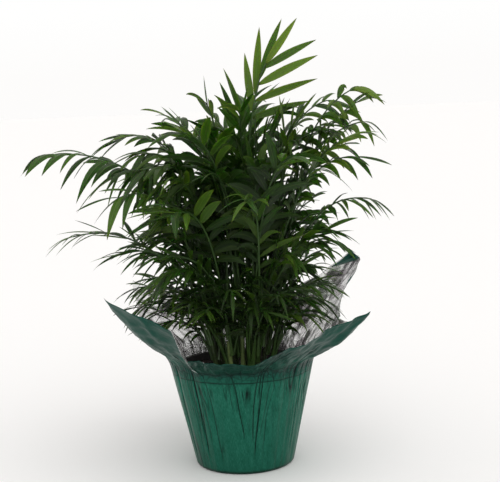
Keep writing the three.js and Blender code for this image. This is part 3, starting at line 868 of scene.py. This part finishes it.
def joined(w, *parts):
    node = w.node("GeometryNodeJoinGeometry")
    for part in parts:
        w.feed(node.inputs[0], part)
    return Value(w, node.outputs[0])


def tube(w, curve, radius, sides):
    """A round tube with closed ends along a curve, as thick at each point as it says."""
    profile = w.add("GeometryNodeCurvePrimitiveCircle", {"Resolution": sides, "Radius": 1.0})
    return w.add("GeometryNodeCurveToMesh", {
        "Curve": curve, "Profile Curve": profile, "Scale": radius, "Fill Caps": True})


def realized(w, geometry, material):
    real = w.add("GeometryNodeRealizeInstances", {"Geometry": geometry})
    return w.add("GeometryNodeSetMaterial", {"Geometry": real, "Material": material})


# ---------------------------------------------------------------- soil
def soil_mesh():
    """A closed plug: a lumpy top in the pot's taper, and a flat bottom."""
    sides, rings = SOIL_SIDES, SOIL_RINGS
    top_radius = (SOIL_HIGH.x - SOIL_LOW.x) / 2
    vertices = [(0, 0, SOIL_TOP + SOIL_CROWN)]
    for k in range(1, rings + 1):
        r = top_radius * k / rings
        for i in range(sides):
            turn = 2 * math.pi * i / sides
            x, y = r * math.cos(turn), r * math.sin(turn)
            crown = SOIL_CROWN * min(1, (top_radius - r) / (top_radius - CLUMP_RADIUS * MM))
            lump = noise.fractal(Vector((x, y, 0)) * 90, 0.8, 2.0, 4)
            vertices.append((x, y, SOIL_TOP + crown + SOIL_LUMP * lump * (k < rings)))
    start = len(vertices)
    for i in range(sides):
        turn = 2 * math.pi * i / sides
        x, y = SOIL_BOTTOM_RADIUS * math.cos(turn), SOIL_BOTTOM_RADIUS * math.sin(turn)
        vertices.append((x, y, SOIL_LOW.z))
    vertices.append((0, 0, SOIL_LOW.z))
    faces = []
    for i in range(sides):
        j = (i + 1) % sides
        faces.append((0, 1 + i, 1 + j))
        for k in range(rings):
            a, b = 1 + k * sides + i, 1 + k * sides + j
            faces.append((a, a + sides, b + sides, b))
        faces.append((start + i, start + sides, start + j))
    mesh = bpy.data.meshes.new("soil_plug")
    mesh.from_pydata(vertices, [], faces)
    return mesh


def crumbs_tree():
    """Scatters crumbs of bark and peat over the upward faces of a plug of soil."""
    w, given, end = new_tree(
        "soil_crumbs", "GeometryNodeTree",
        {"Soil": "Geometry", "Density": "Float", "Smallest": "Float", "Largest": "Float",
         "Seed": "Int", "Soil material": "Material"}, {"Geometry": "Geometry"})
    seed = given["Seed"]
    rise = w.vector("DOT_PRODUCT", w.add("GeometryNodeInputNormal"), (0, 0, 1), output="Value")
    points = w.add("GeometryNodeDistributePointsOnFaces", {
        "Mesh": given["Soil"], "Selection": w.maths("GREATER_THAN", rise, 0.6),
        "Density": given["Density"], "Seed": seed}, distribute_method="RANDOM")
    crumb = w.add("GeometryNodeMeshIcoSphere", {"Radius": 1.0, "Subdivisions": 1})
    spin = w.add("FunctionNodeRandomValue", {"Max": (6.28, 6.28, 6.28), "Seed": seed},
                 data_type="FLOAT_VECTOR")
    size = w.add("FunctionNodeRandomValue", {
        "Min": given["Smallest"] * (1, 1, 1), "Max": given["Largest"] * (1, 1, 1),
        "Seed": seed + 1}, data_type="FLOAT_VECTOR")
    placed = w.add("GeometryNodeInstanceOnPoints", {
        "Points": points, "Instance": crumb, "Scale": size,
        "Rotation": w.add("FunctionNodeEulerToRotation", {0: spin})})
    w.feed(end[0], realized(w, joined(w, placed, given["Soil"]), given["Soil material"]))
    return w.tree


# ---------------------------------------------------------------- canes
def cane_axis(index):
    """Foot and direction of a cane, in mm."""
    r = CLUMP_RADIUS * math.sqrt((index + 0.5) / len(CANES))
    turn = math.radians(GOLDEN_ANGLE * index)
    lean = math.radians(LEAN_PER_MM * r)
    foot = Vector((r * math.cos(turn), r * math.sin(turn), SOIL_TOP / MM))
    direction = Vector((math.sin(lean) * math.cos(turn), math.sin(lean) * math.sin(turn),
                        math.cos(lean)))
    return foot, direction


def line_mesh(name, points):
    """A chain of edges through points given in mm."""
    mesh = bpy.data.meshes.new(name)
    mesh.from_pydata([p * MM for p in points], [(k, k + 1) for k in range(len(points) - 1)], [])
    return mesh


def cane_tree():
    """A ringed cane round a chain of edges: thicker at each leaf scar, tapering upward."""
    w, given, end = new_tree(
        "ringed_cane", "GeometryNodeTree",
        {"Axis": "Geometry", "Foot radius": "Float", "Top radius": "Float", "Rings": "Float",
         "Ring swell": "Float", "Steps": "Int", "Cane material": "Material"},
        {"Geometry": "Geometry"})
    curve = w.add("GeometryNodeMeshToCurve", {"Mesh": given["Axis"]})
    fine = w.add("GeometryNodeResampleCurve", {"Curve": curve, "Count": given["Steps"]})
    factor = w.add("GeometryNodeSplineParameter", output="Factor")
    phase = w.maths("FRACT", factor * given["Rings"])
    ring = (1.0 - abs(phase - 0.5) * 9.0).clamped()
    radius = mix(given["Foot radius"], given["Top radius"], factor)
    radius = radius * given["Ring swell"] * ring + radius
    body = tube(w, stored(w, fine, "leaf_along", ring), radius, CANE_SIDES)
    w.feed(end[0], realized(w, body, given["Cane material"]))
    return w.tree


# ---------------------------------------------------------------- fronds
# As shares of a leaflet's length: where its sections lie and where it is widest. Its foot is blunt,
# as wide as this share of its widest.
BLANK_STEPS = [0, 0.06, 0.14, 0.24, 0.35, 0.47, 0.59, 0.71, 0.82, 0.91, 0.97]
BLADE_WIDEST = 0.395
BLADE_FOOT = 0.16


def blade_width(u):
    """Half width of a leaflet along its length, as a share of its widest."""
    def swell(place):
        return place ** 0.62 * (1 - place) ** 0.95

    return max(swell(u) / swell(BLADE_WIDEST), BLADE_FOOT * (1 - u))


def leaflet_blank():
    """A closed blade of four-sided section that the frond tree bends into each leaflet."""
    section = [(-1, 0), (0, -1), (1, 0), (0, 1)]
    rows = [(u, blade_width(u), section) for u in BLANK_STEPS]
    vertices, facts, faces = [], [], []
    for u, width, points in rows:
        for across, face in points:
            vertices.append((u, across * width * 0.1, face * width * 0.01))
            facts.append((u, across, face, width))
    tip = len(vertices)
    vertices.append((1, 0, 0))
    facts.append((1, 0, 0, 0))
    sharp = []
    for k in range(len(rows) - 1):
        for i in range(4):
            j = (i + 1) % 4
            faces.append((4 * k + i, 4 * k + j, 4 * k + 4 + j, 4 * k + 4 + i))
        sharp += [(4 * k, 4 * k + 4), (4 * k + 2, 4 * k + 6), (4 * k + 3, 4 * k + 7)]
    last = 4 * (len(rows) - 1)
    for i in range(4):
        faces.append((last + i, last + (i + 1) % 4, tip))
    faces.append((3, 2, 1, 0))
    mesh = bpy.data.meshes.new("leaflet_blank")
    mesh.from_pydata(vertices, [], faces)
    for k, name in enumerate(("leaf_along", "leaf_across", "leaf_face", "leaf_width")):
        layer = mesh.attributes.new(name, "FLOAT", "POINT")
        layer.data.foreach_set("value", [fact[k] for fact in facts])
    mesh.polygons.foreach_set("use_smooth", [True] * len(faces))
    edge_keys = {tuple(sorted(edge)) for edge in sharp}
    for edge in mesh.edges:
        edge.use_edge_sharp = tuple(sorted(edge.vertices)) in edge_keys
    return add_object("leaflet_blank", mesh)


def random_between(w, low, high, seed, offset):
    node = w.node("FunctionNodeRandomValue", {"Seed": seed + offset}, data_type="FLOAT")
    floats = [socket for socket in node.inputs if socket.type == "VALUE"]
    w.feed(floats[0], low)
    w.feed(floats[1], high)
    return Value(w, node.outputs[1])


def frond_tree():
    """A feather frond along a chain of edges: a tapering stalk with leaflets in pairs."""
    floats = ("Bare share", "Leaflet length", "Half width", "Reference length", "Thickness",
              "Sag", "Roll", "Spread at foot", "Spread at tip", "Sweep", "Lift", "Fold",
              "Foot radius", "Tip radius", "Looseness")
    w, given, end = new_tree(
        "feather_frond", "GeometryNodeTree",
        {"Stalk line": "Geometry", "Leaflet blank": "Object", "Pairs": "Int", "Seed": "Int",
         "Side": "Vector", "Leaf material": "Material", "Stalk material": "Material",
         **dict.fromkeys(floats, "Float")}, {"Geometry": "Geometry"})
    seed = given["Seed"]
    curve = w.add("GeometryNodeMeshToCurve", {"Mesh": given["Stalk line"]})

    def chance(low, high, offset):
        """A number of each leaflet's own, within the range where the looseness is one."""
        spread = random_between(w, -1.0, 1.0, seed, offset) * given["Looseness"]
        return spread * ((high - low) / 2) + (low + high) / 2

    # where each leaflet leaves the stalk, and which way it points
    points = w.add("GeometryNodePoints", {"Count": given["Pairs"] * 2})
    index = w.add("GeometryNodeInputIndex")
    pair = w.maths("FLOOR", index / 2.0)
    right = w.maths("MODULO", index, 2.0)
    order = right * 0.35 + pair + chance(-0.12, 0.12, 1)
    blade = (order / (given["Pairs"] - 0.65)).clamped()
    sample = w.node("GeometryNodeSampleCurve", {
        "Curves": curve, "Factor": mix(given["Bare share"], 1.0, blade)},
        mode="FACTOR", use_all_curves=True)
    root, tangent = [Value(w, sample.outputs[name]) for name in ("Position", "Tangent")]
    across = w.turned(given["Side"], tangent, chance(-0.25, 0.25, 2) - given["Roll"])
    normal = w.unit(w.cross(across, tangent))
    spread = mix(given["Spread at foot"], given["Spread at tip"], blade) + chance(-0.26, 0.26, 3)
    bearing = spread * (right * 2.0 - 1.0) + given["Sweep"]
    forward, sideways = w.maths("COSINE", bearing), w.maths("SINE", bearing)
    lift = given["Lift"] + chance(-0.2, 0.34, 4)
    out = w.unit(tangent * forward + across * sideways + normal * lift)
    bulge = w.maths("SINE", blade * (0.75 * math.pi) + 0.15 * math.pi)
    length = given["Leaflet length"] * (bulge * 0.28 + 0.72) * chance(0.88, 1.12, 5)
    half = w.maths("SQRT", length / given["Reference length"]) * given["Half width"]
    facts = {
        "leaf_root": root, "leaf_out": out, "leaf_normal": normal, "leaf_length": length,
        "leaf_half": half * chance(0.82, 1.15, 6), "leaf_sag": given["Sag"] * chance(0.4, 1.6, 7),
        "leaf_twist": chance(-0.9, 0.9, 8), "leaf_random": random_between(w, 0.0, 1.0, seed, 9)}
    for name, value in facts.items():
        points = stored(w, points, name, value)
    blank = w.add("GeometryNodeObjectInfo", {"Object": given["Leaflet blank"]}, "Geometry")
    placed = w.add("GeometryNodeInstanceOnPoints", {"Points": points, "Instance": blank})
    straight = w.add("GeometryNodeRealizeInstances", {"Geometry": placed})

    def named(name, kind="FLOAT"):
        return w.add("GeometryNodeInputNamedAttribute", {"Name": name}, data_type=kind)

    # bend every blank to its own leaflet
    u, sag = named("leaf_along"), named("leaf_sag")
    out = named("leaf_out", "FLOAT_VECTOR")
    length = named("leaf_length") / (sag * sag * 0.13 + 1.0)
    centre = named("leaf_root", "FLOAT_VECTOR") + out * (length * u)
    centre = centre + sag * length * (u * u) * (0, 0, -0.5)
    heading = w.unit(out + sag * u * (0, 0, -1))
    flat = w.unit(w.cross(named("leaf_normal", "FLOAT_VECTOR"), heading))
    flat = w.turned(flat, heading, named("leaf_twist") * u)
    beside = named("leaf_across")
    width = named("leaf_half") * named("leaf_width")
    folded = abs(beside) * width * given["Fold"]
    thick = named("leaf_face") * named("leaf_width") * given["Thickness"]
    shape = centre + flat * (beside * width) + w.cross(heading, flat) * (thick - folded)
    leaflets = w.add("GeometryNodeSetPosition", {"Geometry": straight, "Position": shape})

    # the stalk, and the whole frond's materials
    factor = w.add("GeometryNodeSplineParameter", output="Factor")
    swell = w.maths("POWER", 1.0 - factor, 24.0)
    radius = mix(given["Foot radius"], given["Tip radius"], factor) * (swell * 0.7 + 1.0)
    stalk = tube(w, stored(w, curve, "leaf_along", factor), radius, STALK_SIDES)
    whole = joined(w, leaflets, stored(w, stalk, "on_stalk", 1.0))
    whole = stored(w, whole, "frond_random", w.maths("FRACT", seed * 0.618))
    whole = realized(w, whole, given["Leaf material"])
    on_stalk = w.maths("GREATER_THAN", named("on_stalk"), 0.5)
    w.feed(end[0], w.add("GeometryNodeSetMaterial", {
        "Geometry": whole, "Selection": on_stalk, "Material": given["Stalk material"]}))
    return w.tree


SCRATCH_FACTS = ("leaf_root", "leaf_out", "leaf_normal", "leaf_length", "leaf_half", "leaf_sag",
                 "leaf_twist", "leaf_face", "leaf_width", "on_stalk")


def bezier(start, control, tip, share):
    return (start * (1 - share) ** 2 + control * (2 * share * (1 - share)) + tip * share ** 2)


def frond_line(cane, rank, shape):
    """Points of a frond's stalk in mm, and the level direction that it heads in."""
    foot, direction = cane_axis(cane)
    tip_x, tip_y, tip_height, lead, crown = shape[:5]
    soil = SOIL_TOP / MM
    tip = Vector((tip_x, tip_y, soil + tip_height))
    node = foot + direction * CANES[cane][0] * BRANCH_HEIGHTS[rank]
    heading = Vector((tip.x - node.x, tip.y - node.y, 0)).normalized()
    away = Matrix.Rotation(math.radians(BRANCH_TURNS[rank]), 3, "Z") @ heading
    if rank == 0:
        start = node + direction * CROWN_START
    else:
        start = node + away * (CANE_FOOT_RADIUS + STALK_FOOT_RADIUS + FROND_GAP)
    control = start.lerp(tip, lead)
    control.z = soil + crown
    if rank > 0:
        control += away * BRANCH_SPREAD
    steps = [k / (STALK_POINTS - 1) for k in range(STALK_POINTS)]
    return [bezier(start, control, tip, t) for t in steps], heading


def add_frond(name, line, heading, rank, shape, seed, spreads=None, sweep=0, looseness=1.0,
              widening=1.0, crowding=CROWDING):
    """A frond along a line, from its numbers and the way that its leaflets are set."""
    spreads = spreads or SPREADS[rank]
    bare, pairs, leaf, roll, sag = shape[5:10]
    return grown(name, line_mesh(name, line), FROND_TREE, {
        "Leaflet blank": BLANK, "Pairs": round(pairs * crowding), "Bare share": bare,
        "Leaflet length": leaf * MM, "Half width": LEAFLET_HALF_WIDTHS[rank] * widening * MM,
        "Reference length": LEAFLET_REFERENCE * MM, "Thickness": LEAFLET_THICKNESS * MM,
        "Sag": sag * DROOP, "Side": (heading.y, -heading.x, 0.0), "Roll": math.radians(roll),
        "Spread at foot": math.radians(spreads[0]), "Spread at tip": math.radians(spreads[1]),
        "Sweep": math.radians(sweep), "Lift": LEAFLET_LIFT, "Fold": LEAFLET_FOLD,
        "Foot radius": STALK_FOOT_RADIUS * MM, "Tip radius": STALK_TIP_RADIUS * MM,
        "Seed": seed, "Looseness": looseness, "Leaf material": LEAF_GREEN,
        "Stalk material": STALK_GREEN}, drop=SCRATCH_FACTS)


# ---------------------------------------------------------------- the object's pieces
def finish_piece(piece, slot, *nodes):
    """Says what a piece rides on and hides the nodes that it stands for. Its slot is not used."""
    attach(piece, "root")
    if nodes:
        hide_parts(*nodes)


wrap = add_object("foil_cover", foil_mesh())
finish_piece(wrap, "foil", "foil_wrap")

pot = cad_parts["nursery_pot"]
pot.data.materials.clear()
pot.data.materials.append(POT_PLASTIC)

soil = grown("potting_mix", soil_mesh(), crumbs_tree(), {
    "Density": CRUMBS_PER_SQUARE_METRE, "Smallest": SMALLEST_CRUMB, "Largest": LARGEST_CRUMB,
    "Seed": 3, "Soil material": POTTING_MIX})
finish_piece(soil, "soil", "potting_soil")

CANE_TREE = cane_tree()
for index, (length, _) in enumerate(CANES):
    foot, direction = cane_axis(index)
    line = [foot - direction * CANE_SUNK, foot + direction * length]
    cane = grown(f"palm_cane_{index + 1:02d}", line_mesh("cane", line), CANE_TREE, {
        "Foot radius": CANE_FOOT_RADIUS * MM, "Top radius": CANE_TOP_RADIUS * MM,
        "Rings": (CANE_SUNK + length) / RING_SPACING, "Ring swell": RING_SWELL,
        "Steps": CANE_STEPS,
        "Cane material": YOUNG_CANE_GREEN if index in YOUNG_CANES else CANE_GREEN})
    finish_piece(cane, "cane", f"cane_{index + 1:02d}")

FROND_TREE = frond_tree()
BLANK = leaflet_blank()
# Fronds whose leaflets are set unlike the others': the tall one leans its leaflets to one side.
FORMS = {1: {"spreads": (42, 14), "sweep": -19, "looseness": 0.35, "widening": 0.98,
             "crowding": 1},
         13: {"spreads": (50, 22), "widening": 1.15, "looseness": 1.2}, 28: {"widening": 1.15}}
number = 0
for index, (_, shapes) in enumerate(CANES):
    for rank, shape in enumerate(shapes):
        number += 1
        line, heading = frond_line(index, rank, shape)
        form = FORMS.get(number, {})
        frond = add_frond(f"palm_frond_{number:02d}", line, heading, rank, shape, number, **form)
        finish_piece(frond, "frond", f"frond_{number:02d}")


def turned_frond(shape, turn, size, lower, roll):
    """A frond's numbers, turned about the upright axis, drawn in and lowered."""
    tip_x, tip_y, height, lead, crown, bare, pairs, leaf, _, sag = shape
    turn = math.radians(turn)
    x = size * (tip_x * math.cos(turn) - tip_y * math.sin(turn))
    y = size * (tip_x * math.sin(turn) + tip_y * math.cos(turn))
    return [x, y, height * lower, lead, crown * lower, max(0.3, bare - 0.08), pairs, leaf, roll,
            sag]


# Fronds that fill the crown where it is thickest: cane and rank that each leaves from, and its
# numbers as in the table of canes.
FULL_CROWN = [
    (8, 0, [112, 18, 268, 0.25, 262, 0.45, 8, 52, 15, 1.2]),
    (3, 0, [96, -12, 262, 0.2, 262, 0.45, 8, 54, 10, 0.9]),
    (5, 0, [128, -8, 232, 0.3, 236, 0.42, 8, 50, 0, 1.0]),
    (13, 0, [118, 30, 240, 0.3, 250, 0.42, 8, 48, 0, 1.2]),
    (0, 1, [52, 6, 282, 0.1, 262, 0.5, 6, 56, 20, 0.8]),
    (8, 1, [60, -30, 250, 0.2, 242, 0.42, 7, 56, 0, 0.9]),
    (6, 1, [8, -32, 286, 0.08, 262, 0.48, 7, 60, -20, 0.5]),
    (9, 0, [-96, 2, 246, 0.12, 270, 0.42, 9, 50, 0, 0.9]),
    (4, 0, [-96, -34, 244, 0.2, 258, 0.4, 9, 56, 20, 1.4]),
    (8, 0, [130, -6, 304, 0.3, 276, 0.6, 6, 52, -50, 1.4]),
    (12, 0, [-122, -50, 224, 0.22, 248, 0.45, 7, 64, -15, 2.0]),
    (4, 0, [-94, -58, 230, 0.15, 246, 0.45, 7, 62, 15, 1.8]),
    (5, 0, [142, 10, 268, 0.3, 262, 0.5, 9, 48, 20, 1.3]),
    (3, 0, [104, 24, 292, 0.22, 276, 0.5, 7, 52, -30, 1.0]),
    (1, 0, [-60, 30, 262, 0.1, 262, 0.45, 8, 54, 0, 0.7]),
    (12, 0, [-74, -44, 232, 0.15, 246, 0.42, 8, 56, 0, 1.0]),
    (6, 0, [-24, -30, 268, 0.1, 250, 0.45, 7, 60, 0, 0.6]),
    (11, 0, [-16, 62, 270, 0.15, 256, 0.45, 8, 60, 0, 0.7]),
    (10, 0, [30, -58, 232, 0.15, 236, 0.42, 8, 60, 0, 0.8]),
    (2, 0, [-24, -64, 224, 0.15, 230, 0.42, 8, 60, 0, 0.8]),
    (7, 0, [4, 40, 236, 0.15, 232, 0.4, 8, 56, 0, 0.8]),
    (4, 2, [-112, 6, 96, 0.28, 104, 0.35, 9, 40, 0, 0.9]),
    (12, 2, [-104, -44, 84, 0.28, 96, 0.35, 9, 40, 0, 0.8]),
    (9, 2, [-98, 40, 100, 0.28, 108, 0.35, 9, 40, 0, 0.9]),
    (1, 2, [-104, 20, 132, 0.28, 134, 0.38, 9, 44, 0, 1.0]),
    (7, 2, [-84, -66, 102, 0.28, 108, 0.35, 9, 40, 0, 0.8]),
    (13, 2, [98, 10, 92, 0.28, 102, 0.35, 9, 40, 0, 0.9]),
    (5, 2, [88, -40, 84, 0.28, 98, 0.35, 9, 40, 0, 0.8]),
    (8, 2, [96, 30, 126, 0.28, 130, 0.38, 9, 44, 0, 1.0]),
    (10, 2, [66, -64, 100, 0.28, 106, 0.35, 9, 40, 0, 0.8]),
    (12, 2, [-92, -20, 58, 0.28, 72, 0.35, 8, 38, 0, 0.7]),
    (4, 2, [-90, 22, 66, 0.28, 78, 0.35, 8, 38, 0, 0.7]),
    (9, 2, [-82, 50, 70, 0.28, 82, 0.35, 8, 38, 0, 0.7]),
    (7, 2, [-60, -72, 78, 0.28, 88, 0.35, 8, 38, 0, 0.7]),
    (2, 2, [-34, -84, 84, 0.28, 94, 0.35, 8, 38, 0, 0.6]),
    (10, 2, [28, -86, 82, 0.28, 92, 0.35, 8, 38, 0, 0.6]),
    (5, 2, [70, -52, 70, 0.28, 82, 0.35, 8, 38, 0, 0.7]),
    (13, 2, [84, 4, 62, 0.28, 76, 0.35, 8, 38, 0, 0.7]),
    (8, 2, [78, 44, 70, 0.28, 82, 0.35, 8, 38, 0, 0.7]),
]


def inner_fronds():
    """Fronds between those of the table of canes, which have no node of their own."""
    draw = random.Random(11)
    plans = list(FULL_CROWN)
    for cane, (_, shapes) in enumerate(CANES):
        for rank, shape in enumerate(shapes):
            lower = draw.uniform(*FILLER_HEIGHTS) + (rank == 2) * LOW_FILLER_RISE
            turn = draw.uniform(-FILLER_TURN, FILLER_TURN)
            size = draw.uniform(*FILLER_SIZES)
            roll = draw.uniform(-FILLER_ROLL, FILLER_ROLL)
            plans.append((cane, rank, turned_frond(shape, turn, size, lower, roll)))
    for number, (cane, rank, shape) in enumerate(plans, start=1):
        line, heading = frond_line(cane, rank, shape)
        inner = number > len(FULL_CROWN)
        frond = add_frond(f"inner_frond_{number:02d}", line, heading, rank, shape, 100 + number,
                          spreads=INNER_SPREADS if inner else None,
                          widening=INNER_NARROWER if inner else 1.0)
        finish_piece(frond, "frond")


inner_fronds()
bpy.data.objects.remove(BLANK)

# ---------------------------------------------------------------- stage, light and camera
def stage_floor():
    mesh = bpy.data.meshes.new("floor")
    half = 12
    mesh.from_pydata([(-half, -half, 0), (half, -half, 0), (half, half, 0), (-half, half, 0)], [],
                     [(0, 1, 2, 3)])
    floor = add_object("floor", mesh)
    material, w = new_material("floor_white")
    finish_material(w, {"Base Color": (0.93, 0.92, 0.92), "Roughness": 0.8})
    mesh.materials.append(material)


def stage_light():
    world = bpy.data.worlds.new("studio")
    world.use_nodes = True
    w = Wiring(world.node_tree)
    soft = world.node_tree.nodes["Background"]
    w.feed(soft.inputs["Color"], (1.0, 0.99, 0.97))
    w.feed(soft.inputs["Strength"], 0.80)
    way = w.add("ShaderNodeTexCoord", output="Generated")
    rise = w.add("ShaderNodeSeparateXYZ", {"Vector": way}, "Z")
    shade = w.ramp(rise, [(0.0, (0.985, 0.975, 0.965)), (0.05, (1.0, 1.0, 0.995))])
    seen = w.add("ShaderNodeBackground", {"Color": shade, "Strength": 1.0})
    direct = w.add("ShaderNodeLightPath", output="Is Camera Ray")
    both = w.add("ShaderNodeMixShader", {
        0: direct, 1: Value(w, soft.outputs[0]), 2: seen})
    w.feed(world.node_tree.nodes["World Output"].inputs["Surface"], both)
    bpy.context.scene.world = world
    sun = bpy.data.lights.new("key", "SUN")
    sun.energy = 1.15
    sun.angle = math.radians(70)
    key = bpy.data.objects.new("key", sun)
    key.rotation_euler = (math.radians(34), math.radians(14), 0)
    bpy.context.scene.collection.objects.link(key)
    bpy.context.scene.view_settings.view_transform = "Standard"


def stage_camera():
    place = Vector((0.014, -1.300, 0.428))
    target = Vector((0.014, 0, 0.245))
    tilt = math.radians(-2.2)
    forward = (target - place).normalized()
    right = forward.cross(Vector((0, 0, 1))).normalized()
    up = right.cross(forward)
    across = right * math.cos(tilt) + up * math.sin(tilt)
    above = up * math.cos(tilt) - right * math.sin(tilt)
    camera = bpy.data.objects.new("camera", bpy.data.cameras.new("camera"))
    camera.data.lens = 87
    camera.data.sensor_width = 36
    camera.data.clip_start = 0.05
    camera.matrix_world = Matrix.Translation(place) @ Matrix(
        (across, above, -forward)).transposed().to_4x4()
    bpy.context.scene.collection.objects.link(camera)
    bpy.context.scene.camera = camera


stage_floor()
stage_light()
stage_camera()
